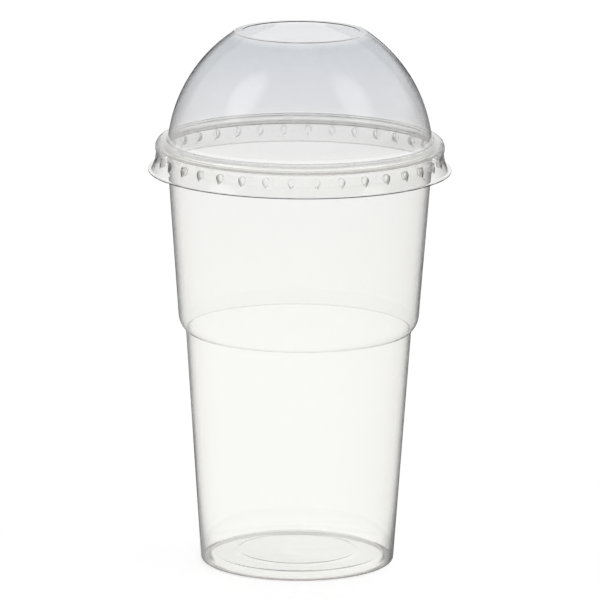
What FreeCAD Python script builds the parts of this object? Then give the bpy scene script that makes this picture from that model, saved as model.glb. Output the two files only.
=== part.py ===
import FreeCAD, Part
import math
import os

# Clear drink cup with a domed lid, in millimetres and degrees.
# Z is the axis of both pieces. The origin is the centre of the cup's foot ring, on the table.
# Each piece is one formed sheet: its section is a path through the middle of the sheet,
# given half the sheet's thickness on both sides and turned once round the axis.

# Cup
CUP_SHEET = 0.4
CUP_HEIGHT = 143.15
RIM_DIAMETER = 94.5
ROLL_DIAMETER = 3.1
ROLL_TAIL_GAP = 0.35
ROLL_TAIL_ROUND = 0.55
ROLL_TAIL_LENGTH = 1.0
UPPER_DRAFT = 4.25
LEDGE_HEIGHT = 79.2
LEDGE_DIAMETER = 75.4
LEDGE_SLOPE = 50.0
LEDGE_ROUND = 10.8
CREASE_ROUND = 0.4
FOOT_DIAMETER = 64.7
HEEL_ROUND = 0.8
FOOT_RING_DIAMETER = 58.8
FOOT_RING_ROUND = 0.6
RECESS_DIAMETER = 57.6
RECESS_DEPTH = 2.2
RECESS_ROUND = 0.7
DISC_DIAMETER = 41.0
DISC_RISE = 0.5
DISC_RAMP = 1.6
DISC_ROUND = 1.2

# Lid, from the rim of the cup down
LID_SHEET = 0.3
PLUG_CLEARANCE = 0.25
PLUG_DEPTH = 0.35
PLUG_HEIGHT = 2.1
PLUG_DRAFT = 1.5
PLUG_ROUND = 0.4
CROWN_CLEARANCE = 0.4
CROWN_RISE_WIDTH = 1.1
CROWN_ROUND = 0.8
BEAD_CLEARANCE = 0.6
BEAD_ROUND = 2.7
BEAD_DEPTH = 2.85
BEAD_FOOT_ROUND = 0.6
WAIST_CLEARANCE = 0.28
WAIST_DEPTH = 4.25
WAIST_ROUND = 0.8
FLARE_WIDTH = 0.47
FLARE_DEPTH = 7.15
FLARE_ROUND = 2.0
FLANGE_DIAMETER = 101.0
FLANGE_WIDTH = 1.2
FLANGE_DEPTH = 9.85
FLANGE_ROUND = 0.6

# Dome of the lid
DOME_RISE = 36.65
DOME_DRAFT = 10.8
DOME_TOP_SLOPE = 37.4
DOME_ROUND = 48.8
DOME_FOOT_ROUND = 1.0
HOLE_DIAMETER = 39.4
LAND_WIDTH = 2.2
LAND_ROUND = 0.8

# Lugs that hold the lid under the roll
LUG_COUNT = 36
LUG_CLEARANCE = 0.1
LUG_DEPTH_BELOW_RIM = 5.5
LUG_WIDTH = 2.4
LUG_HEIGHT = 3.4
LUG_FACE_SHARE = 0.3

# Heights and radii that both pieces share
RIM_RADIUS = RIM_DIAMETER / 2
MOUTH_RADIUS = RIM_RADIUS - ROLL_DIAMETER
LID_TOP = CUP_HEIGHT + DOME_RISE
LID_HALF = LID_SHEET / 2
WAIST_RADIUS = RIM_RADIUS + WAIST_CLEARANCE + LID_HALF
FLARE_RADIUS = WAIST_RADIUS + FLARE_WIDTH


def tangent_of(degrees):
    return math.tan(math.radians(degrees))


def meeting_point(start, start_slope, end, end_slope):
    """Where the line through start meets the line through end. A slope is height over radius."""
    radius = (end[1] - start[1] + start_slope * start[0] - end_slope * end[0]) / (start_slope - end_slope)
    return radius, start[1] + start_slope * (radius - start[0])


def unit(start, end):
    length = math.dist(start, end)
    return (end[0] - start[0]) / length, (end[1] - start[1]) / length


def corner_turn(before, corner, after):
    """The signed angle by which a path turns at a corner, positive to the left."""
    way_in = unit(before, corner)
    way_out = unit(corner, after)
    cross = way_in[0] * way_out[1] - way_in[1] * way_out[0]
    return math.atan2(cross, way_in[0] * way_out[0] + way_in[1] * way_out[1])


def corner_cuts(corners):
    """How far the arc at each corner reaches along its legs. Two arcs share a short leg."""
    wanted = [0.0]
    for before, corner, after in zip(corners, corners[1:], corners[2:]):
        wanted.append(corner[2] * abs(math.tan(corner_turn(before[:2], corner[:2], after[:2]) / 2)))
    wanted.append(0.0)
    cuts = list(wanted)
    for i in range(len(corners) - 1):
        leg = math.dist(corners[i][:2], corners[i + 1][:2])
        share = min(1.0, leg / max(wanted[i] + wanted[i + 1], leg))
        cuts[i] = min(cuts[i], wanted[i] * share)
        cuts[i + 1] = min(cuts[i + 1], wanted[i + 1] * share)
    return cuts


def side_points(corners, offset):
    """One face of the sheet: for each stretch its ends, and for an arc its middle too."""
    cuts = corner_cuts(corners)
    stretches = []
    last = corners[0][:2]
    for i in range(1, len(corners)):
        corner = corners[i][:2]
        way = unit(corners[i - 1][:2], corner)
        left = (-way[1], way[0])
        leg_end = (corner[0] - way[0] * cuts[i], corner[1] - way[1] * cuts[i])
        start = (last[0] + left[0] * offset, last[1] + left[1] * offset)
        end = (leg_end[0] + left[0] * offset, leg_end[1] + left[1] * offset)
        stretches.append([start, end])
        if i == len(corners) - 1:
            return stretches
        way_out = unit(corner, corners[i + 1][:2])
        turn = corner_turn(corners[i - 1][:2], corner, corners[i + 1][:2])
        radius = cuts[i] / math.tan(turn / 2)
        centre = (leg_end[0] + left[0] * radius, leg_end[1] + left[1] * radius)
        reach = radius - offset
        halfway = (-left[0] * math.cos(turn / 2) + way[0] * math.sin(turn / 2),
                   -left[1] * math.cos(turn / 2) + way[1] * math.sin(turn / 2))
        last = (corner[0] + way_out[0] * cuts[i], corner[1] + way_out[1] * cuts[i])
        arc_end = (centre[0] + way_out[1] * reach, centre[1] - way_out[0] * reach)
        arc_middle = (centre[0] + halfway[0] * reach, centre[1] + halfway[1] * reach)
        stretches.append([end, arc_middle, arc_end])


def section_edges(stretches):
    edges = []
    for points in stretches:
        vectors = [FreeCAD.Vector(radius, 0, height) for radius, height in points]
        if (vectors[0] - vectors[-1]).Length < 1e-6:
            continue
        if len(vectors) == 2:
            edges.append(Part.LineSegment(*vectors).toShape())
        else:
            edges.append(Part.Arc(*vectors).toShape())
    return edges


def formed_sheet(corners, thickness):
    """A sheet of revolution: corners are (radius, height, round) through its middle."""
    left = side_points(corners, thickness / 2)
    right = side_points(corners, -thickness / 2)
    caps = [[left[0][0], right[0][0]], [left[-1][-1], right[-1][-1]]]
    outline = Part.Wire(Part.__sortEdges__(section_edges(left + right + caps)))
    axis_foot = FreeCAD.Vector(0, 0, 0)
    return Part.Face(outline).revolve(axis_foot, FreeCAD.Vector(0, 0, 1), 360)


def cup_corners():
    """Middle of the cup's sheet, from the centre of the floor out, up the wall and round the roll."""
    half = CUP_SHEET / 2
    disc = DISC_DIAMETER / 2
    floor = RECESS_DEPTH + half
    rim_top = CUP_HEIGHT - half
    roll_foot = CUP_HEIGHT - ROLL_DIAMETER + half
    roll_round = ROLL_DIAMETER / 2 - half
    crease = (LEDGE_DIAMETER / 2 - half, LEDGE_HEIGHT)
    wall_top = (MOUTH_RADIUS + half, rim_top)
    ledge = meeting_point(crease, 1 / tangent_of(LEDGE_SLOPE), wall_top, 1 / tangent_of(UPPER_DRAFT))
    wall_at_roll_foot = wall_top[0] - (rim_top - roll_foot) * tangent_of(UPPER_DRAFT)
    tail = wall_at_roll_foot + CUP_SHEET + ROLL_TAIL_GAP
    return [
        (0, floor + DISC_RISE, 0),
        (disc - DISC_RAMP / 2, floor + DISC_RISE, DISC_ROUND),
        (disc + DISC_RAMP / 2, floor, DISC_ROUND),
        (RECESS_DIAMETER / 2, floor, RECESS_ROUND),
        (FOOT_RING_DIAMETER / 2, half, FOOT_RING_ROUND),
        (FOOT_DIAMETER / 2 - half, half, HEEL_ROUND),
        (crease[0], crease[1], CREASE_ROUND),
        (ledge[0], ledge[1], LEDGE_ROUND),
        (wall_top[0], wall_top[1], roll_round),
        (RIM_RADIUS - half, rim_top, roll_round),
        (RIM_RADIUS - half, roll_foot, roll_round),
        (tail, roll_foot, ROLL_TAIL_ROUND),
        (tail, roll_foot + ROLL_TAIL_LENGTH, 0),
    ]


def lid_corners():
    """Middle of the lid's sheet, from the edge of the hole over the dome, plug, bead and skirt."""
    land = HOLE_DIAMETER / 2 + LAND_WIDTH
    top = LID_TOP - LID_HALF
    plug = (MOUTH_RADIUS - PLUG_CLEARANCE - LID_HALF, CUP_HEIGHT - PLUG_DEPTH)
    dome_foot = (plug[0] - PLUG_HEIGHT * tangent_of(PLUG_DRAFT), plug[1] + PLUG_HEIGHT)
    dome = meeting_point((land, top), -tangent_of(DOME_TOP_SLOPE), dome_foot, -1 / tangent_of(DOME_DRAFT))
    crown = CUP_HEIGHT + CROWN_CLEARANCE + LID_HALF
    bead = RIM_RADIUS + BEAD_CLEARANCE + LID_HALF
    flange = FLANGE_DIAMETER / 2
    flange_height = CUP_HEIGHT - FLANGE_DEPTH
    return [
        (HOLE_DIAMETER / 2, top, 0),
        (land, top, LAND_ROUND),
        (dome[0], dome[1], DOME_ROUND),
        (dome_foot[0], dome_foot[1], DOME_FOOT_ROUND),
        (plug[0], plug[1], PLUG_ROUND),
        (plug[0] + CROWN_RISE_WIDTH, crown, CROWN_ROUND),
        (bead, crown, BEAD_ROUND),
        (bead, CUP_HEIGHT - BEAD_DEPTH, BEAD_FOOT_ROUND),
        (WAIST_RADIUS, CUP_HEIGHT - WAIST_DEPTH, WAIST_ROUND),
        (FLARE_RADIUS, CUP_HEIGHT - FLARE_DEPTH, FLARE_ROUND),
        (flange - FLANGE_WIDTH, flange_height, FLANGE_ROUND),
        (flange, flange_height, 0),
    ]


def lug_outline(radius, share, margin):
    """A lug's outline at one radius: broad at its top, pointed at its foot."""
    wide = share * LUG_WIDTH / 2 + margin
    tall = share * LUG_HEIGHT / 2 + margin
    middle = CUP_HEIGHT - LUG_DEPTH_BELOW_RIM
    shape = [(-0.55, 1.0), (0.55, 1.0), (1.0, 0.55), (1.0, -0.05), (0.0, -1.0), (-1.0, -0.05), (-1.0, 0.55)]
    points = [FreeCAD.Vector(radius, across * wide, middle + up * tall) for across, up in shape]
    return Part.makePolygon(points + points[:1])


def lug_body(face_radius, margin):
    """A body that runs inward through the skirt, then narrows to the lug's flat face."""
    skirt_share = (LUG_DEPTH_BELOW_RIM - WAIST_DEPTH) / (FLARE_DEPTH - WAIST_DEPTH)
    mouth_radius = WAIST_RADIUS + FLARE_WIDTH * skirt_share + LID_HALF
    rows = [(FLANGE_DIAMETER / 2, 1), (mouth_radius, 1), (face_radius, LUG_FACE_SHARE)]
    return Part.makeLoft([lug_outline(radius, share, margin) for radius, share in rows], True, True)


def around(shape, count):
    copies = []
    for i in range(count):
        copy = shape.copy()
        copy.rotate(FreeCAD.Vector(0, 0, 0), FreeCAD.Vector(0, 0, 1), 360 * i / count)
        copies.append(copy)
    return copies


def make_cup():
    return formed_sheet(cup_corners(), CUP_SHEET)


def inside_of_lid():
    """The space under the lid as a solid, out to the middle of the lid's sheet."""
    corners = lid_corners()
    top = (0, corners[0][1])
    foot = (0, corners[-1][1])
    closing = [[corners[-1][:2], foot], [foot, top], [top, corners[0][:2]]]
    outline = Part.Wire(Part.__sortEdges__(section_edges(side_points(corners, 0) + closing)))
    return Part.Face(outline).revolve(FreeCAD.Vector(0, 0, 0), FreeCAD.Vector(0, 0, 1), 360)


def make_lid():
    """The lid, with its lugs pressed inward out of the skirt until they nearly meet the roll."""
    inner_face = RIM_RADIUS + LUG_CLEARANCE
    bump = lug_body(inner_face, LID_SHEET).common(inside_of_lid())
    dent = lug_body(inner_face + LID_SHEET, 0)
    lid = formed_sheet(lid_corners(), LID_SHEET)
    return lid.fuse(around(bump, LUG_COUNT)).cut(around(dent, LUG_COUNT))


def write(name, shape):
    solid = shape.Solids[0]
    print(name, "solids", len(shape.Solids), "valid", solid.isValid(),
          "volume", round(solid.Volume, 1), "box", solid.BoundBox)
    solid.exportStep("parts/" + name + ".step")


os.makedirs("parts", exist_ok=True)
write("cup", make_cup())
write("dome_lid", make_lid())
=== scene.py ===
# %% [markdown]
# # A clear drink cup with a domed lid
#
# The object is two pieces of formed plastic sheet: a cup with a stacking ledge and a rolled
# rim, and a dome lid that snaps over that rim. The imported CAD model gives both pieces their
# size and place, and this lesson dresses them: finer meshes, clear plastic, a studio and a
# camera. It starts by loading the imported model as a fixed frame.

# %% Load the frame
import math
from collections import namedtuple

import bpy
from mathutils import Matrix, Vector


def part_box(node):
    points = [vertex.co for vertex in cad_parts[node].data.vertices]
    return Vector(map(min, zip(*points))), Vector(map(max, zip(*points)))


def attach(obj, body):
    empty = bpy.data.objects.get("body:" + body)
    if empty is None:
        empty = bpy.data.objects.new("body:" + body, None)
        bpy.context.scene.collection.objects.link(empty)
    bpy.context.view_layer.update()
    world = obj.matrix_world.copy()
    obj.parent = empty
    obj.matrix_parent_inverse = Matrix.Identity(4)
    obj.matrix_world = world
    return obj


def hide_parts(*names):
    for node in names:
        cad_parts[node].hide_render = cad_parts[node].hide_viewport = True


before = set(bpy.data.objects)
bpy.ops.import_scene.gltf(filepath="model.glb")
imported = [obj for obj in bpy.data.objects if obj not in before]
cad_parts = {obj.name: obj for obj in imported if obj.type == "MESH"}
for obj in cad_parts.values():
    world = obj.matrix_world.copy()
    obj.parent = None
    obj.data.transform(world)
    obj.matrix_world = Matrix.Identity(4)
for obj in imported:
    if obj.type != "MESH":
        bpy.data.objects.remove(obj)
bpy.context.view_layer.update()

cup_low, cup_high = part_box("cup")
lid_low, lid_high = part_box("dome_lid")
print("cup", tuple(cup_low), tuple(cup_high))
print("lid", tuple(lid_low), tuple(lid_high))

# %% [markdown]
# ## Sizes
#
# Thin clear plastic shows every facet, so each piece gets a finer mesh than the frame's. A
# formed sheet is easiest to describe by the path through the middle of its thickness: a few
# corners, each with the radius that rounds it. The overall sizes come from the frame, and the
# rest are the piece's own, in millimetres.

# %% Cup sizes
MM = 0.001
CUP_SHEET = 0.4
CUP_HEIGHT = cup_high.z / MM
RIM_RADIUS = cup_high.x / MM
ROLL_DIAMETER = 3.1
ROLL_TAIL_GAP = 0.35
ROLL_TAIL_ROUND = 0.55
ROLL_TAIL_LENGTH = 1.0
UPPER_DRAFT = 4.25
LEDGE_HEIGHT = 79.2
LEDGE_RADIUS = 37.7
LEDGE_SLOPE = 50.0
LEDGE_ROUND = 10.8
CREASE_ROUND = 0.4
FOOT_RADIUS = 32.35
HEEL_ROUND = 0.8
FOOT_RING_RADIUS = 29.4
FOOT_RING_ROUND = 0.9
RECESS_RADIUS = 28.8
RECESS_DEPTH = 2.2
RECESS_ROUND = 1.4
DISC_RADIUS = 20.5
DISC_RISE = 0.5
DISC_RAMP = 1.6
DISC_ROUND = 1.2
MOUTH_RADIUS = RIM_RADIUS - ROLL_DIAMETER
print("cup", round(CUP_HEIGHT, 2), "mm high, rim radius", round(RIM_RADIUS, 2))

# %% [markdown]
# The lid takes its heights from the cup's rim, because it seats there, and each fit between the
# two has its own clearance.

# %% Lid sizes
LID_SHEET = 0.3
LID_HALF = LID_SHEET / 2
LID_TOP = lid_high.z / MM
FLANGE_RADIUS = lid_high.x / MM
FLANGE_HEIGHT = lid_low.z / MM + LID_HALF
PLUG_CLEARANCE = 0.25
PLUG_DEPTH = 0.35
PLUG_HEIGHT = 2.1
PLUG_DRAFT = 1.5
PLUG_ROUND = 0.4
CROWN_CLEARANCE = 0.4
CROWN_RISE_WIDTH = 1.1
CROWN_ROUND = 0.8
BEAD_CLEARANCE = 0.6
BEAD_ROUND = 2.7
BEAD_DEPTH = 2.85
BEAD_FOOT_ROUND = 0.6
WAIST_CLEARANCE = 0.28
WAIST_DEPTH = 4.25
WAIST_ROUND = 0.8
FLARE_WIDTH = 0.47
FLARE_DEPTH = 7.15
FLARE_ROUND = 2.0
FLANGE_WIDTH = 1.2
FLANGE_ROUND = 0.6
DOME_DRAFT = 10.8
DOME_TOP_SLOPE = 37.4
DOME_ROUND = 48.8
DOME_FOOT_ROUND = 1.0
HOLE_RADIUS = 19.7
LAND_WIDTH = 2.2
LAND_ROUND = 0.8
WAIST_RADIUS = RIM_RADIUS + WAIST_CLEARANCE + LID_HALF
FLARE_RADIUS = WAIST_RADIUS + FLARE_WIDTH
print("lid top", round(LID_TOP, 2), "flange radius", round(FLANGE_RADIUS, 2))

# %% [markdown]
# ## The path through a sheet
#
# The corners become straight legs joined by tangent arcs. Each point also keeps the direction
# square to the sheet, because half the thickness to either side along it gives the two faces,
# with the wall as even as a drawn sheet. A modifier such as Solidify could add the thickness
# instead, but it would not keep these exact faces at the tight rolls. Cut edges and tight bends
# of clear sheet look dark, so each corner also has a painted shade for its edge, which the
# plastic's colour reads later.

# %% Path helpers
TURN_STEP = math.radians(7.5)
ARC_STEP = 1.5
SAME_POINT = 1e-4
Corner = namedtuple("Corner", "radius height round rows shade", defaults=(0.0, 1, 0.0))


def direction(start, end):
    length = math.dist(start, end)
    return Vector(((end[0] - start[0]) / length, (end[1] - start[1]) / length))


def turn_at(before, corner, after):
    """The signed angle by which the path turns at a corner, positive to the left."""
    way_in = direction(before, corner)
    way_out = direction(corner, after)
    return math.atan2(way_in.x * way_out.y - way_in.y * way_out.x, way_in.dot(way_out))


def corner_cuts(spots, turns, rounds):
    """How far the arc at each corner reaches along its legs. Two arcs share a short leg."""
    wanted = [size * abs(math.tan(turn / 2)) for size, turn in zip(rounds, turns)]
    cuts = list(wanted)
    for i in range(len(spots) - 1):
        leg = math.dist(spots[i], spots[i + 1])
        share = min(1.0, leg / max(wanted[i] + wanted[i + 1], leg))
        cuts[i] = min(cuts[i], wanted[i] * share)
        cuts[i + 1] = min(cuts[i + 1], wanted[i + 1] * share)
    return cuts


def sheet_path(corners):
    """A corner's rows are on the leg that leads to it, and its painted shade lies along its arc.
    """
    spots = [(corner.radius, corner.height) for corner in corners]
    turns = [0.0] + [turn_at(*spots[i - 1:i + 2]) for i in range(1, len(spots) - 1)] + [0.0]
    cuts = corner_cuts(spots, turns, [corner.round for corner in corners])
    path = []
    start = Vector(spots[0])
    for i in range(1, len(spots)):
        corner = Vector(spots[i])
        way = direction(spots[i - 1], spots[i])
        left = Vector((-way.y, way.x))
        end = corner - way * cuts[i]
        rows = corners[i].rows
        path += [(start.lerp(end, k / rows), left, 0.0) for k in range(rows + 1)]
        if cuts[i] == 0.0:
            start = corner
            continue
        radius = cuts[i] / math.tan(turns[i] / 2)
        centre = end + left * radius
        by_turn = math.ceil(abs(turns[i]) / TURN_STEP)
        by_length = math.ceil(abs(radius * turns[i]) / ARC_STEP)
        steps = max(by_turn, by_length)
        for k in range(1, steps):
            angle = turns[i] * k / steps
            normal = left * math.cos(angle) - way * math.sin(angle)
            shade = corners[i].shade * math.sin(math.pi * k / steps)
            path.append((centre - normal * radius, normal, shade))
        start = corner + direction(spots[i], spots[i + 1]) * cuts[i]
    path[0] = (*path[0][:2], corners[0].shade)
    path[-1] = (*path[-1][:2], corners[-1].shade)
    return path


def sheet_outline(corners, sheet):
    """The closed outline of the section as (radius, height, shade), without doubled points."""
    path = sheet_path(corners)
    points = [(*(point + normal * sheet / 2), shade) for point, normal, shade in path]
    path.reverse()
    points += [(*(point - normal * sheet / 2), shade) for point, normal, shade in path]
    kept = [points[0]]
    for point in points[1:]:
        if math.dist(point[:2], kept[-1][:2]) > SAME_POINT:
            kept.append(point)
    return kept


def slope_of(degrees):
    return math.tan(math.radians(degrees))


def meeting_point(start, start_slope, end, end_slope):
    """Where two lines of the section meet, each given by a point and its height per radius."""
    apart = end[1] - start[1] + start_slope * start[0] - end_slope * end[0]
    radius = apart / (start_slope - end_slope)
    return radius, start[1] + start_slope * (radius - start[0])


# %% [markdown]
# ## The cup's section
#
# The path runs from the centre of the floor out over the raised disc, down to the foot ring,
# up the lower wall, over the stacking ledge, up the wall to the rim and round the open curl of
# the roll. The ledge is where the next cup in a stack would rest.

# %% Cup corners
# The shades here are painted shade that darkens the heel, the crease and the roll's bends.
HEEL_SHADE = 0.7
CREASE_SHADE = 0.25
ROLL_FOOT_SHADE = 0.4
TAIL_SHADE = 0.35
TAIL_END_SHADE = 0.3
half = CUP_SHEET / 2
floor_middle = RECESS_DEPTH + half
rim_top = CUP_HEIGHT - half
roll_foot = CUP_HEIGHT - ROLL_DIAMETER + half
roll_round = ROLL_DIAMETER / 2 - half
wall_top = (MOUTH_RADIUS + half, rim_top)
crease = (LEDGE_RADIUS - half, LEDGE_HEIGHT)
ledge = meeting_point(crease, 1 / slope_of(LEDGE_SLOPE), wall_top, 1 / slope_of(UPPER_DRAFT))
wall_at_roll_foot = wall_top[0] - (rim_top - roll_foot) * slope_of(UPPER_DRAFT)
tail = wall_at_roll_foot + CUP_SHEET + ROLL_TAIL_GAP
cup_corners = [
    Corner(0.0, floor_middle + DISC_RISE),
    Corner(DISC_RADIUS - DISC_RAMP / 2, floor_middle + DISC_RISE, DISC_ROUND, rows=6),
    Corner(DISC_RADIUS + DISC_RAMP / 2, floor_middle, DISC_ROUND),
    Corner(RECESS_RADIUS, floor_middle, RECESS_ROUND, rows=4),
    Corner(FOOT_RING_RADIUS, half, FOOT_RING_ROUND, rows=2),
    Corner(FOOT_RADIUS - half, half, HEEL_ROUND, rows=2, shade=HEEL_SHADE),
    Corner(*crease, CREASE_ROUND, rows=10, shade=CREASE_SHADE),
    Corner(*ledge, LEDGE_ROUND),
    Corner(*wall_top, roll_round, rows=8),
    Corner(RIM_RADIUS - half, rim_top, roll_round),
    Corner(RIM_RADIUS - half, roll_foot, roll_round, shade=ROLL_FOOT_SHADE),
    Corner(tail, roll_foot, ROLL_TAIL_ROUND, shade=TAIL_SHADE),
    Corner(tail, roll_foot + ROLL_TAIL_LENGTH, shade=TAIL_END_SHADE),
]
cup_outline = sheet_outline(cup_corners, CUP_SHEET)
print("cup outline", len(cup_outline), "points")

# %% [markdown]
# ## The lid's section
#
# The path runs from the edge of the open hole over the flat land and the dome, into the plug
# ring that sits inside the mouth, over the bead that covers the roll, in to a waist under it,
# down the widening skirt and out to the flat flange that a thumb lifts.

# %% Lid corners
# The shades here are painted shade that darkens the plug, the bead's foot and the flange's edge.
PLUG_SHADE = 0.1
BEAD_FOOT_SHADE = 0.45
FLANGE_EDGE_SHADE = 0.55
land = HOLE_RADIUS + LAND_WIDTH
lid_middle_top = LID_TOP - LID_HALF
plug = (MOUTH_RADIUS - PLUG_CLEARANCE - LID_HALF, CUP_HEIGHT - PLUG_DEPTH)
dome_foot = (plug[0] - PLUG_HEIGHT * slope_of(PLUG_DRAFT), plug[1] + PLUG_HEIGHT)
dome_side = -1 / slope_of(DOME_DRAFT)
dome = meeting_point((land, lid_middle_top), -slope_of(DOME_TOP_SLOPE), dome_foot, dome_side)
crown = CUP_HEIGHT + CROWN_CLEARANCE + LID_HALF
bead = RIM_RADIUS + BEAD_CLEARANCE + LID_HALF
bead_foot = (bead, CUP_HEIGHT - BEAD_DEPTH)
waist = (WAIST_RADIUS, CUP_HEIGHT - WAIST_DEPTH)
flare = (FLARE_RADIUS, CUP_HEIGHT - FLARE_DEPTH)
lid_corners = [
    Corner(HOLE_RADIUS, lid_middle_top),
    Corner(land, lid_middle_top, LAND_ROUND, rows=4),
    Corner(*dome, DOME_ROUND, rows=3),
    Corner(*dome_foot, DOME_FOOT_ROUND, rows=3, shade=PLUG_SHADE),
    Corner(*plug, PLUG_ROUND, shade=PLUG_SHADE),
    Corner(plug[0] + CROWN_RISE_WIDTH, crown, CROWN_ROUND),
    Corner(bead, crown, BEAD_ROUND),
    Corner(*bead_foot, BEAD_FOOT_ROUND, shade=BEAD_FOOT_SHADE),
    Corner(*waist, WAIST_ROUND, rows=6),
    Corner(*flare, FLARE_ROUND, rows=16),
    Corner(FLANGE_RADIUS - FLANGE_WIDTH, FLANGE_HEIGHT, FLANGE_ROUND, rows=2),
    Corner(FLANGE_RADIUS, FLANGE_HEIGHT, rows=5, shade=FLANGE_EDGE_SHADE),
]
lid_outline = sheet_outline(lid_corners, LID_SHEET)
print("lid outline", len(lid_outline), "points")

# %% [markdown]
# ## The lugs
#
# Thirty-six lugs are pressed inward out of the skirt, broad at the top and pointed at the foot,
# and they grip the cup under its roll. Pressing moves both faces of the sheet by the same
# amount, so the lugs are made the same way here: every point of the skirt inside a lug's
# outline moves towards the axis. The columns follow a lug's outline, so that its walls are steep
# and clean. Points on a wall are marked, with plus on the outer face and minus on the inner.

# %% Lug shape
LUG_COUNT = 36
LUG_WIDTH = 2.3
LUG_HEIGHT = 3.4
LUG_FACE_RADIUS = 46.55
LUG_DEPTH_BELOW_RIM = 5.6
LUG_FACE_SHARE = 0.8
LUG_WIDEST = 0.25
LUG_FOOT_CURVE = 1.6
LUG_FULL_DEPTH_SHARE = 0.5
LUG_TIP = 0.08
LUG_PITCH = math.tau / LUG_COUNT


def skirt_radius(height):
    """The radius of the skirt's middle at a height, before any lug is pressed."""
    for upper, lower in ((bead_foot, waist), (waist, flare)):
        if height >= lower[1]:
            return lower[0] + (upper[0] - lower[0]) * (height - lower[1]) / (upper[1] - lower[1])
    return flare[0]


def smooth_step(value):
    value = min(max(value, 0.0), 1.0)
    return value * value * (3 - 2 * value)


def lug_share(height):
    """The lug's width at a height as a share of its full width: a round top, a pointed foot."""
    up = (height - (CUP_HEIGHT - LUG_DEPTH_BELOW_RIM)) / (LUG_HEIGHT / 2)
    if up > LUG_WIDEST:
        return max(0.0, 1 - ((up - LUG_WIDEST) / (1 - LUG_WIDEST)) ** 2) ** 0.5
    down = min((LUG_WIDEST - up) / (1 + LUG_WIDEST), 1.0)
    return 1 - down ** LUG_FOOT_CURVE


def lug_point(ratio, height):
    """A column at ratio of a lug's half width has an angle, a push inward and a wall mark."""
    share = lug_share(height)
    angle = ratio * max(share, LUG_TIP) * LUG_WIDTH / 2 / WAIST_RADIUS
    wall = smooth_step((1 - abs(ratio)) / (1 - LUG_FACE_SHARE))
    ends = smooth_step(share / LUG_FULL_DEPTH_SHARE)
    steep = (4 * wall * (1 - wall)) ** 0.5 * ends
    return angle, (skirt_radius(height) - LUG_FACE_RADIUS) * wall * ends, steep


print("lugs press in to radius", LUG_FACE_RADIUS, "mm, the roll ends at", round(RIM_RADIUS, 2))

# %% [markdown]
# ## Turning an outline into a mesh
#
# The outline is copied round the axis, one column of points at each angle, and neighbours are
# joined by faces. The lid has extra columns that run only through the band of the skirt where
# the lugs are, which spends the faces where the shape is. The cup's outline starts on the axis,
# where a column shrinks to a single point.

# %% Turned mesh
ON_AXIS = 1e-6
SHARP_ANGLE = math.radians(40)


def ring_faces(ring, following, count):
    """Faces between two rings, given as {column: vertex}. They may have different columns."""
    shared = sorted(set(ring) & set(following))
    for i, j in zip(shared, shared[1:] + [shared[0] + count]):
        lower = [ring[k % count] for k in range(i, j + 1) if k % count in ring]
        upper = [following[k % count] for k in range(i, j + 1) if k % count in following]
        corners = list(dict.fromkeys(lower + upper[::-1]))
        if len(corners) > 2:
            yield corners[::-1]


def turned_piece(name, outline, angles, extra=(), band=(0.0, 0.0), press=None):
    """Inside the band of heights there are extra columns, and press places every column."""
    vertices, shades, walls, rings = [], [], [], []
    for radius, height, shade in outline:
        in_band = band[0] < height < band[1]
        ring = {}
        for column, angle in enumerate(angles):
            if column in extra and not in_band:
                continue
            if radius < ON_AXIS and ring:
                ring[column] = ring[0]
                continue
            ring[column] = len(vertices)
            push = steep = 0.0
            if in_band:
                angle, push, steep = press(column, height)
            reach = (radius - push) * MM
            vertices.append((reach * math.cos(angle), reach * math.sin(angle), height * MM))
            shades.append(shade)
            walls.append(math.copysign(steep, radius - skirt_radius(height)))
        rings.append(ring)
    faces = []
    for ring, following in zip(rings, rings[1:] + rings[:1]):
        faces += ring_faces(ring, following, len(angles))
    mesh = bpy.data.meshes.new(name)
    mesh.from_pydata(vertices, [], faces)
    mesh.shade_smooth()
    mesh.set_sharp_from_angle(angle=SHARP_ANGLE)
    mesh.attributes.new("edge_shade", "FLOAT", "POINT").data.foreach_set("value", shades)
    mesh.attributes.new("lug_wall", "FLOAT", "POINT").data.foreach_set("value", walls)
    piece = bpy.data.objects.new(name, mesh)
    bpy.context.scene.collection.objects.link(piece)
    print(name, len(vertices), "points", sum(len(face) - 2 for face in faces), "triangles")
    return piece


# %% [markdown]
# One pitch of the lid holds one lug, and the pitch repeats all round. Each column near the lug
# has an angle for the plain skirt and a place on the lug, as a share of its half width, and the
# second half of the pitch is the first one mirrored. Columns between the lugs have no place and
# stay where they are. Those that are off the even steps exist only in the band of lugs.

# %% Columns
CUP_COLUMNS = 288
LUG_BAND = (135.0, 140.2)
PITCH_DEGREES = 360 / LUG_COUNT
EVEN_STEP = 1.25
BETWEEN_LUGS = range(2, 7)
half_lug = [
    (0.4, 0.4), (0.8, 0.7), (1.25, LUG_FACE_SHARE), (1.33, LUG_FACE_SHARE + 0.07),
    (1.41, LUG_FACE_SHARE + 0.14), (1.5, 1.0), (1.75, 1.15),
]
pitch_columns = [(0.0, 0.0)] + half_lug
pitch_columns += [(EVEN_STEP * k, None) for k in BETWEEN_LUGS]
pitch_columns += [(PITCH_DEGREES - degrees, -place) for degrees, place in reversed(half_lug)]
cup_angles = [math.tau * i / CUP_COLUMNS for i in range(CUP_COLUMNS)]
lid_angles = []
lug_only = set()
for i in range(LUG_COUNT):
    for degrees, place in pitch_columns:
        if degrees % EVEN_STEP:
            lug_only.add(len(lid_angles))
        lid_angles.append(LUG_PITCH * i + math.radians(degrees))


def press_column(column, height):
    """Places a column inside the band. A negative place belongs to the next lug."""
    lug, number = divmod(column, len(pitch_columns))
    place = pitch_columns[number][1]
    if place is None:
        return lid_angles[column], 0.0, 0.0
    angle, push, steep = lug_point(place, height)
    return LUG_PITCH * (lug + (place < 0)) + angle, push, steep


cup_piece = turned_piece("clear_cup", cup_outline, cup_angles)
lid_piece = turned_piece("clear_lid", lid_outline, lid_angles, lug_only, LUG_BAND, press_column)
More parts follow.
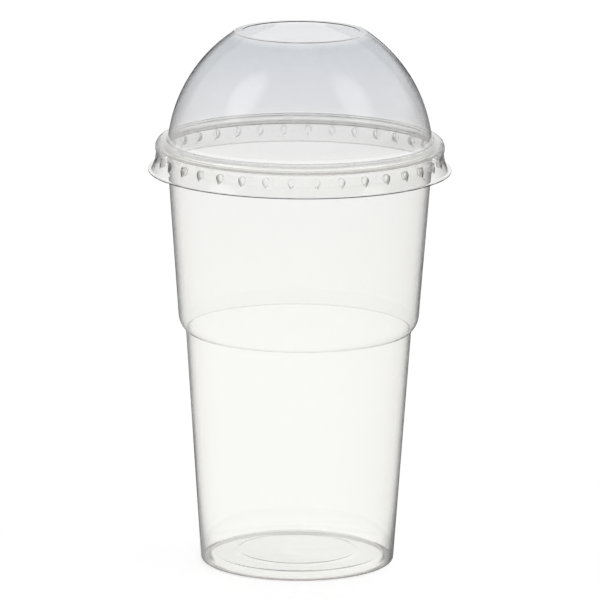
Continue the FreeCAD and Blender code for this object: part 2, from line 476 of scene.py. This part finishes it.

# %% [markdown]
# ## Clear formed plastic
#
# Both pieces are clear sheet, so most of what the eye sees is what lies behind them. What makes
# the plastic itself visible is its edge: where the wall turns away, the path through the sheet
# grows long, and the edge goes dark. That darkness is painted shade in the plastic's colour, by
# the angle of view that Layer Weight gives.
#
# The nodes are many and alike, so a few short helpers make them.

# %% Node helpers
def feed(tree, value, socket):
    """Feeds a socket with another socket or with a plain value."""
    if isinstance(value, bpy.types.NodeSocket):
        tree.links.new(value, socket)
    else:
        socket.default_value = value


def figure(tree, operation, *values):
    node = tree.nodes.new("ShaderNodeMath")
    node.operation = operation
    for socket, value in zip(node.inputs, values):
        feed(tree, value, socket)
    return node.outputs["Value"]


def dot(tree, first, second):
    node = tree.nodes.new("ShaderNodeVectorMath")
    node.operation = "DOT_PRODUCT"
    feed(tree, first, node.inputs[0])
    feed(tree, second, node.inputs[1])
    return node.outputs["Value"]


def split(tree, vector):
    node = tree.nodes.new("ShaderNodeSeparateXYZ")
    tree.links.new(vector, node.inputs["Vector"])
    return node.outputs


def rise(tree, value, start, end):
    """0 where the value is at start, 1 where it is at end, smooth between."""
    node = tree.nodes.new("ShaderNodeMapRange")
    node.interpolation_type = "SMOOTHSTEP"
    node.inputs["From Min"].default_value = start
    node.inputs["From Max"].default_value = end
    tree.links.new(value, node.inputs["Value"])
    return node.outputs["Result"]


def mixed(tree, factor, first, second, kind="FLOAT", blend="MIX"):
    node = tree.nodes.new("ShaderNodeMix")
    node.data_type = kind
    node.blend_type = blend
    feed(tree, factor, node.inputs["Factor"])
    feed(tree, first, node.inputs["A"])
    feed(tree, second, node.inputs["B"])
    return node.outputs["Result"]


def product(tree, first, second):
    return mixed(tree, 1.0, first, second, "RGBA", "MULTIPLY")


def ramp_along(tree, value, stops):
    """The colour that a list of (position, colour) has where the value is."""
    node = tree.nodes.new("ShaderNodeValToRGB")
    while len(node.color_ramp.elements) < len(stops):
        node.color_ramp.elements.new(1.0)
    for element, (position, colour) in zip(node.color_ramp.elements, stops):
        element.position = position
        element.color = (*colour, 1.0)
    tree.links.new(value, node.inputs["Fac"])
    return node.outputs["Color"]


def attribute(tree, name):
    node = tree.nodes.new("ShaderNodeAttribute")
    node.attribute_name = name
    return node.outputs["Fac"]


def grey(value):
    return (value, value, value)


# %% [markdown]
# A node group keeps its settings as sockets on its interface, and each use of it is one node.

# %% Group helpers
def new_group(name, inputs, outputs):
    """A group with (name, socket kind, default) inputs and (name, socket kind) outputs."""
    group = bpy.data.node_groups.new(name, "ShaderNodeTree")
    for title, kind, default in inputs:
        socket = group.interface.new_socket(name=title, in_out="INPUT", socket_type=kind)
        if default is not None:
            socket.default_value = default
    for title, kind in outputs:
        group.interface.new_socket(name=title, in_out="OUTPUT", socket_type=kind)
    entry = group.nodes.new("NodeGroupInput")
    leave = group.nodes.new("NodeGroupOutput")
    return group, entry.outputs, leave.inputs


def use_group(tree, group, **values):
    node = tree.nodes.new("ShaderNodeGroup")
    node.node_tree = group
    for title, value in values.items():
        feed(tree, value, node.inputs[title])
    return node.outputs


# %% [markdown]
# Drawing the sheet leaves fine upright waves, and handling leaves faint scuffs. The waves bend
# the normal, and the scuffs roughen the gloss.

# %% Drawn sheet group
WAVE_SIZE = 60.0
WAVE_DEPTH = 0.15
WAVE_STRETCH = (1.0, 1.0, 0.18)
WAVE_HEIGHT = 0.0004
WAVE_DETAIL = 2.0
SCUFF_SIZE = 220.0
SCUFF_DETAIL = 6.0
SCUFF_RANGE = (0.5, 0.8)
GLOSS_ROUGHNESS = 0.02
SCUFF_ROUGHNESS = 0.08


def drawn_sheet_group():
    inputs = [
        ("Wave size", "NodeSocketFloat", WAVE_SIZE), ("Wave depth", "NodeSocketFloat", WAVE_DEPTH),
        ("Gloss roughness", "NodeSocketFloat", GLOSS_ROUGHNESS),
        ("Scuff roughness", "NodeSocketFloat", SCUFF_ROUGHNESS),
    ]
    outputs = [("Normal", "NodeSocketVector"), ("Roughness", "NodeSocketFloat")]
    group, given, result = new_group("Drawn sheet", inputs, outputs)
    nodes, links = group.nodes, group.links
    place = nodes.new("ShaderNodeTexCoord")
    stretch = nodes.new("ShaderNodeMapping")
    stretch.inputs["Scale"].default_value = WAVE_STRETCH
    waves = nodes.new("ShaderNodeTexNoise")
    waves.inputs["Detail"].default_value = WAVE_DETAIL
    bump = nodes.new("ShaderNodeBump")
    bump.inputs["Distance"].default_value = WAVE_HEIGHT
    scuffs = nodes.new("ShaderNodeTexNoise")
    scuffs.inputs["Scale"].default_value = SCUFF_SIZE
    scuffs.inputs["Detail"].default_value = SCUFF_DETAIL
    spread = nodes.new("ShaderNodeMapRange")
    spread.inputs["From Min"].default_value = SCUFF_RANGE[0]
    spread.inputs["From Max"].default_value = SCUFF_RANGE[1]
    links.new(place.outputs["Object"], stretch.inputs["Vector"])
    links.new(stretch.outputs["Vector"], waves.inputs["Vector"])
    links.new(given["Wave size"], waves.inputs["Scale"])
    links.new(waves.outputs["Fac"], bump.inputs["Height"])
    links.new(given["Wave depth"], bump.inputs["Strength"])
    links.new(place.outputs["Object"], scuffs.inputs["Vector"])
    links.new(scuffs.outputs["Fac"], spread.inputs["Value"])
    links.new(given["Gloss roughness"], spread.inputs["To Min"])
    links.new(given["Scuff roughness"], spread.inputs["To Max"])
    links.new(bump.outputs["Normal"], result["Normal"])
    links.new(spread.outputs["Result"], result["Roughness"])
    return group


drawn_sheet = drawn_sheet_group()
print("group", drawn_sheet.name, "with", len(drawn_sheet.nodes), "nodes")

# %% [markdown]
# The plastic itself is glass-like: full transmission, its own index of refraction, and a colour
# made of three parts.
#
# - The first is painted shade that darkens with the angle of view, and a little sooner near the
#   foot. It is cleared on level sheet, in the bends of the rim and on the lugs' walls, which
#   would go too dark.
# - The second changes with height: the plastic's own warm or cool tint, with painted shade that
#   darkens the cup at its foot and below the roll, the lid's skirt, and the dome more towards its
#   top, while the roll and the bead stay light.
# - The third is the painted shade of cut edges and tight bends. A lug's wall takes it where the
#   view meets the wall's outer face from outside: that paints the dark slot that a lug shows from
#   the side.

# %% Colour by angle and by edge
# The lugs' wall shade and the edge stops below are painted shade.
LUG_WALL_SHADE = 0.9
SLOT_FACING = (0.7, 0.4)
LEVEL_TILT = (0.35, 0.8)
STEEP_WALL = 0.5
CLEARED = (1.0, 1.0, 0.995, 1.0)
EDGE_SHADE_STOPS = [(0.0, grey(1.0)), (1.0, (0.05, 0.025, 0.01))]


def angle_shade_colour(tree, look, along, facing, place, wall):
    """The painted shade by the angle of view, cleared towards white where it would go too dark."""
    turned = figure(tree, "ADD", facing, along(look["foot_shade_lean"]))
    tint = ramp_along(tree, turned, look["shade_by_angle"])
    tilt = figure(tree, "ABSOLUTE", split(tree, place["Normal"])["Z"])
    level = figure(tree, "MULTIPLY", rise(tree, tilt, *LEVEL_TILT), along(look["level_clear"]))
    steep = rise(tree, figure(tree, "ABSOLUTE", wall), 0.0, STEEP_WALL)
    clearing = figure(tree, "MAXIMUM", level, along(look["bend_clear"]))
    clearing = figure(tree, "MAXIMUM", clearing, steep)
    return mixed(tree, clearing, tint, CLEARED, "RGBA")


def edge_shade_colour(tree, facing, wall):
    """The painted shade of edges and bends, and of the lugs' walls seen from the side."""
    side = tree.nodes.new("ShaderNodeNewGeometry")
    outer = figure(tree, "MAXIMUM", wall, 0.0)
    met_first = figure(tree, "SUBTRACT", 1.0, side.outputs["Backfacing"])
    slot = figure(tree, "MULTIPLY", outer, met_first)
    slot = figure(tree, "MULTIPLY", slot, rise(tree, facing, *SLOT_FACING))
    dark = figure(tree, "MULTIPLY_ADD", slot, LUG_WALL_SHADE, attribute(tree, "edge_shade"))
    return ramp_along(tree, dark, EDGE_SHADE_STOPS)


print("edges darken to", EDGE_SHADE_STOPS[-1][1])

# %% [markdown]
# One Principled shader takes that colour and the drawn sheet's normal and roughness. Shadow rays
# pass straight through it, tinted, so the table's shadow stays as light as the real one.

# %% Clear plastic
PLASTIC_IOR = 1.57
EVEN_BLEND = 0.5


def clear_plastic(name, look):
    """A look's shade_by_angle has stops of (facing, tint), its other lists of (height in mm, tint)."""
    material = bpy.data.materials.new(name)
    material.use_nodes = True
    tree = material.node_tree
    nodes, links = tree.nodes, tree.links
    nodes.clear()
    layer = nodes.new("ShaderNodeLayerWeight")
    layer.inputs["Blend"].default_value = EVEN_BLEND
    facing = layer.outputs["Facing"]
    place = nodes.new("ShaderNodeTexCoord").outputs
    height = figure(tree, "DIVIDE", split(tree, place["Object"])["Z"], LID_TOP * MM)
    wall = attribute(tree, "lug_wall")

    def along(stops):
        return ramp_along(tree, height, [(level / LID_TOP, tint) for level, tint in stops])

    tint = angle_shade_colour(tree, look, along, facing, place, wall)
    tint = product(tree, tint, along(look["tint_and_shade_by_height"]))
    tint = product(tree, tint, edge_shade_colour(tree, facing, wall))
    sheet = use_group(tree, drawn_sheet)
    plastic = nodes.new("ShaderNodeBsdfPrincipled")
    plastic.inputs["IOR"].default_value = PLASTIC_IOR
    plastic.inputs["Transmission Weight"].default_value = 1.0
    links.new(tint, plastic.inputs["Base Color"])
    links.new(sheet["Normal"], plastic.inputs["Normal"])
    links.new(sheet["Roughness"], plastic.inputs["Roughness"])
    lamp_light = nodes.new("ShaderNodeBsdfTransparent")
    lamp_light.inputs["Color"].default_value = (*look["shadow_tint"], 1.0)
    rays = nodes.new("ShaderNodeLightPath")
    choice = nodes.new("ShaderNodeMixShader")
    output = nodes.new("ShaderNodeOutputMaterial")
    links.new(rays.outputs["Is Shadow Ray"], choice.inputs["Fac"])
    links.new(plastic.outputs["BSDF"], choice.inputs[1])
    links.new(lamp_light.outputs["BSDF"], choice.inputs[2])
    links.new(choice.outputs["Shader"], output.inputs["Surface"])
    return material


# %% [markdown]
# The cup is a warm grey, with painted shade that darkens its foot sooner. The lid is a cooler
# grey, with painted shade that deepens towards the top of the dome, and it has no such foot, so
# its foot shade is nothing.

# %% Looks of the two pieces
# The stops by angle, the foot's lean and the darker heights are painted shade; the warm grey is
# the cup's own.
CUP_LOOK = {
    "shade_by_angle": [
        (0.45, (0.995, 0.995, 0.985)), (0.64, (0.985, 0.975, 0.96)), (0.735, (0.87, 0.865, 0.86)),
        (0.765, (0.79, 0.79, 0.785)), (0.8, (0.62, 0.62, 0.61)), (0.85, (0.46, 0.46, 0.45)),
        (0.93, (0.16, 0.16, 0.155)),
    ],
    "foot_shade_lean": [(0.0, grey(0.18)), (3.0, grey(0.13)), (10.0, grey(0.06)), (24.0, grey(0.0))],
    "level_clear": [(0.8, grey(0.0)), (2.0, grey(1.0))],
    "bend_clear": [(140.5, grey(0.0)), (141.3, grey(1.0))],
    "tint_and_shade_by_height": [
        (0.0, (0.96, 0.955, 0.95)), (1.5, (1.0, 1.0, 0.995)), (4.0, (1.0, 1.0, 0.995)),
        (9.0, (0.98, 0.98, 0.97)), (75.0, (0.98, 0.98, 0.97)), (85.0, (0.965, 0.965, 0.96)),
        (138.5, (0.95, 0.95, 0.95)), (140.5, (0.99, 0.99, 0.985)),
    ],
    "shadow_tint": (0.97, 0.975, 0.965),
}
# The stops by angle and the darker heights are painted shade; the cool grey is the lid's own.
LID_LOOK = {
    "shade_by_angle": [
        (0.3, grey(1.0)), (0.5, grey(0.965)), (0.62, grey(0.91)), (0.74, grey(0.81)),
        (0.82, grey(0.6)), (0.9, grey(0.38)),
    ],
    "foot_shade_lean": [(0.0, grey(0.0)), (LID_TOP, grey(0.0))],
    "level_clear": [
        (147.0, grey(1.0)), (148.0, grey(0.0)), (178.8, grey(0.0)), (179.3, grey(1.0)),
    ],
    "bend_clear": [
        (140.8, grey(0.0)), (141.6, grey(1.0)), (145.0, grey(1.0)), (146.0, grey(0.0)),
        (178.9, grey(0.0)), (179.3, grey(0.7)),
    ],
    "tint_and_shade_by_height": [
        (133.0, (0.94, 0.94, 0.935)), (139.5, (0.94, 0.94, 0.935)), (140.5, (1.0, 1.0, 0.995)),
        (143.9, (1.0, 1.0, 0.995)), (144.8, (0.89, 0.89, 0.89)), (147.0, (0.86, 0.86, 0.865)),
        (153.0, (0.86, 0.86, 0.875)), (162.0, (0.83, 0.84, 0.86)), (178.0, (0.77, 0.79, 0.815)),
        (179.2, (0.93, 0.935, 0.94)),
    ],
    "shadow_tint": (0.93, 0.94, 0.95),
}
cup_piece.data.materials.append(clear_plastic("cup plastic", CUP_LOOK))
lid_piece.data.materials.append(clear_plastic("lid plastic", LID_LOOK))
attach(cup_piece, "cup")
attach(lid_piece, "lid")
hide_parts("cup")
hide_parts("dome_lid")
for piece in (cup_piece, lid_piece):
    print(piece.name, "is made of", piece.data.materials[0].name)

# %% [markdown]
# ## Studio
#
# Clear plastic is lit by its surroundings: the white behind it shows through, and the parts of
# the room that it mirrors draw its edges. The room here is bright in front and to the left,
# dark behind and to the right, and grey overhead. A narrow white card stands right behind the
# cup, and the wall behind it grows lighter upwards. One node group holds that shading, so that
# the air and the table agree about it. Its ranges are parts of a unit direction: side 1 is
# straight towards the bright side, behind 1 is straight back, and height 1 is overhead.

# %% Room shade group
BRIGHT_SIDE = (-0.6, -0.8, 0.0)
SIDE_RANGE = (-0.95, 0.8)
ROOM_BRIGHT = 0.95
ROOM_DARK = 0.08
BEHIND_RANGE = (0.0, 0.6)
CEILING = 0.45
CEILING_RANGE = (0.45, 0.95)
UPPER_BACK = 0.85
UPPER_BACK_RANGE = (0.06, 0.3)
CARD = 1.0
CARD_HALF = math.radians(9.0)
CARD_RIM = math.radians(4.0)
CARD_FOOT_RANGE = (0.0, 0.03)
CARD_TOP_RANGE = (0.4, 0.25)


def room_shade_group():
    inputs = [("Direction", "NodeSocketVector", None)]
    tree, given, result = new_group("Room shade", inputs, [("Shade", "NodeSocketFloat")])
    unit = tree.nodes.new("ShaderNodeVectorMath")
    unit.operation = "NORMALIZE"
    tree.links.new(given["Direction"], unit.inputs[0])
    ray = unit.outputs["Vector"]
    parts = split(tree, ray)
    towards = rise(tree, dot(tree, ray, BRIGHT_SIDE), *SIDE_RANGE)
    around = mixed(tree, towards, ROOM_DARK, ROOM_BRIGHT)
    behind = rise(tree, parts["Y"], *BEHIND_RANGE)
    upper = figure(tree, "MULTIPLY", behind, rise(tree, parts["Z"], *UPPER_BACK_RANGE))
    walls = mixed(tree, upper, around, UPPER_BACK)
    aside = figure(tree, "ABSOLUTE", parts["X"])
    card = rise(tree, aside, math.sin(CARD_HALF + CARD_RIM), math.sin(CARD_HALF))
    card = figure(tree, "MULTIPLY", card, behind)
    for edge in (CARD_TOP_RANGE, CARD_FOOT_RANGE):
        card = figure(tree, "MULTIPLY", card, rise(tree, parts["Z"], *edge))
    walls = mixed(tree, card, walls, CARD)
    shade = mixed(tree, rise(tree, parts["Z"], *CEILING_RANGE), walls, CEILING)
    tree.links.new(shade, result["Shade"])
    return tree


room_shade = room_shade_group()
print("room from", ROOM_DARK, "to", ROOM_BRIGHT)

# %% [markdown]
# The camera, and every ray that passes through the plastic, sees plain white. A ray that the
# plastic has mirrored sees the shaded room instead.

# %% White for what shows through
def sees_white(tree):
    rays = tree.nodes.new("ShaderNodeLightPath").outputs
    return figure(tree, "MAXIMUM", rays["Is Camera Ray"], rays["Is Transmission Ray"])


# %% [markdown]
# Two soft boxes stand high at the left and the right. The dome shows them as two pale arched
# patches and the stacking ledge catches them again. They are painted into the air as glows
# with soft rims, because a lamp's hard rectangle would show in the plastic. A box is round
# at its corners, since its glow fades with the sum of the two squares.

# %% Soft box group
SOFT_RIM = (1.0, 0.1)


def soft_box_group():
    vectors = ("Direction", "Towards", "Across", "Up")
    inputs = [(title, "NodeSocketVector", None) for title in vectors]
    inputs.append(("Brightness", "NodeSocketFloat", 1.0))
    tree, given, result = new_group("Soft box", inputs, [("Glow", "NodeSocketFloat")])
    squares = []
    for side in ("Across", "Up"):
        off_centre = figure(tree, "ABSOLUTE", dot(tree, given["Direction"], given[side]))
        squares.append(figure(tree, "POWER", off_centre, 2.0))
    rim = rise(tree, figure(tree, "ADD", *squares), *SOFT_RIM)
    ahead = dot(tree, given["Direction"], given["Towards"])
    lit = figure(tree, "MULTIPLY", rim, figure(tree, "GREATER_THAN", ahead, 0.0))
    tree.links.new(figure(tree, "MULTIPLY", lit, given["Brightness"]), result["Glow"])
    return tree


soft_box = soft_box_group()
print("group", soft_box.name, "with", len(soft_box.nodes), "nodes")

# %% [markdown]
# The air holds the room's shade and the two boxes, and for the rays that see white it is white.

# %% World
LEFT_BOX = {"azimuth": -66, "elevation": 42, "width": 34, "height": 50, "brightness": 2.2}
RIGHT_BOX = {"azimuth": 70, "elevation": 42, "width": 34, "height": 50, "brightness": 1.8}
world = bpy.data.worlds.new("studio")
bpy.context.scene.world = world
world.use_nodes = True
air = world.node_tree
air.nodes.clear()
look_out = air.nodes.new("ShaderNodeTexCoord").outputs["Generated"]


def soft_box_glow(azimuth, elevation, width, height, brightness):
    """Azimuth is measured from the front towards the right, and all angles are in degrees."""
    a, e = math.radians(azimuth), math.radians(elevation)
    towards = Vector((math.sin(a) * math.cos(e), -math.cos(a) * math.cos(e), math.sin(e)))
    across = Vector((math.cos(a), math.sin(a), 0.0))
    up = across.cross(towards)
    half_width = math.sin(math.radians(width / 2))
    half_height = math.sin(math.radians(height / 2))
    box = use_group(air, soft_box, Direction=look_out, Towards=towards, Across=across / half_width,
                    Up=up / half_height, Brightness=brightness)
    return box["Glow"]


total = use_group(air, room_shade, Direction=look_out)["Shade"]
for box in (LEFT_BOX, RIGHT_BOX):
    total = figure(air, "ADD", total, soft_box_glow(**box))
sky = air.nodes.new("ShaderNodeBackground")
world_out = air.nodes.new("ShaderNodeOutputWorld")
air.links.new(mixed(air, sees_white(air), total, 1.0), sky.inputs["Strength"])
air.links.new(sky.outputs["Background"], world_out.inputs["Surface"])
print("air with", len(air.nodes), "nodes")

# %% [markdown]
# The table is paper painted with the same shade as the room around it, and it takes the cup's
# faint shadow. For the camera, and for what is seen through the plastic, a glow fills the paper
# up to white, and the paper's own light and shadow are part of that white.

# %% Table
TABLE_SIZE = 12.0
PAPER_LIGHT = 0.64
WHITE = 1.03


def table_material():
    material = bpy.data.materials.new("white table")
    material.use_nodes = True
    tree = material.node_tree
    nodes, links = tree.nodes, tree.links
    nodes.clear()
    spot = nodes.new("ShaderNodeNewGeometry").outputs["Position"]
    shade = use_group(tree, room_shade, Direction=spot)["Shade"]
    rest = figure(tree, "MULTIPLY_ADD", shade, -PAPER_LIGHT, WHITE)
    paint = nodes.new("ShaderNodeBsdfDiffuse")
    glow = nodes.new("ShaderNodeEmission")
    both = nodes.new("ShaderNodeAddShader")
    output = nodes.new("ShaderNodeOutputMaterial")
    links.new(shade, paint.inputs["Color"])
    links.new(figure(tree, "MULTIPLY", sees_white(tree), rest), glow.inputs["Strength"])
    links.new(paint.outputs["BSDF"], both.inputs[0])
    links.new(glow.outputs["Emission"], both.inputs[1])
    links.new(both.outputs["Shader"], output.inputs["Surface"])
    return material


table_mesh = bpy.data.meshes.new("table")
reach = TABLE_SIZE / 2
table_corners = [(-reach, -reach, 0), (reach, -reach, 0), (reach, reach, 0), (-reach, reach, 0)]
table_mesh.from_pydata(table_corners, [], [(0, 1, 2, 3)])
table_mesh.materials.append(table_material())
table = bpy.data.objects.new("table", table_mesh)
bpy.context.scene.collection.objects.link(table)
print("table", TABLE_SIZE, "m wide")

# %% [markdown]
# ## Camera
#
# The photograph was taken with a long lens from about 2.2 m away, looking down by about twelve
# degrees, and a little from the right so that the nearest lug sits left of the middle.

# %% Camera
CAMERA_AZIMUTH = math.radians(3.3)
CAMERA_DISTANCE = 2.1858
CAMERA_HEIGHT = 0.5632
CAMERA_OFFSET = 0.00039
CAMERA_PITCH = math.radians(12.248)
CAMERA_ROLL = math.radians(0.415)
FOCAL_PIXELS = 6691.7
FRAME_PIXELS = 600
SENSOR = 36.0
FAR_CLIP = 50.0
camera_data = bpy.data.cameras.new("camera")
camera_data.sensor_width = SENSOR
camera_data.lens = FOCAL_PIXELS / FRAME_PIXELS * SENSOR
camera_data.clip_end = FAR_CLIP
camera = bpy.data.objects.new("camera", camera_data)
turn = Matrix.Rotation(CAMERA_AZIMUTH, 4, "Z")
look_down = Matrix.Rotation(math.pi / 2 - CAMERA_PITCH, 4, "X")
roll = Matrix.Rotation(CAMERA_ROLL, 4, "Z")
stand = Matrix.Translation((CAMERA_OFFSET, -CAMERA_DISTANCE, CAMERA_HEIGHT))
camera.matrix_world = turn @ stand @ look_down @ roll
bpy.context.scene.collection.objects.link(camera)
bpy.context.scene.camera = camera
print("lens", round(camera_data.lens, 1), "mm")

# %% [markdown]
# ## Finish
#
# A view through both walls of both pieces meets many faces, so rays may pass through many.

# %% Finish
CLEAR_BOUNCES = 32
MIRROR_BOUNCES = 12
scene = bpy.context.scene
scene.view_settings.view_transform = "Standard"
scene.cycles.max_bounces = CLEAR_BOUNCES
scene.cycles.transmission_bounces = CLEAR_BOUNCES
scene.cycles.glossy_bounces = MIRROR_BOUNCES
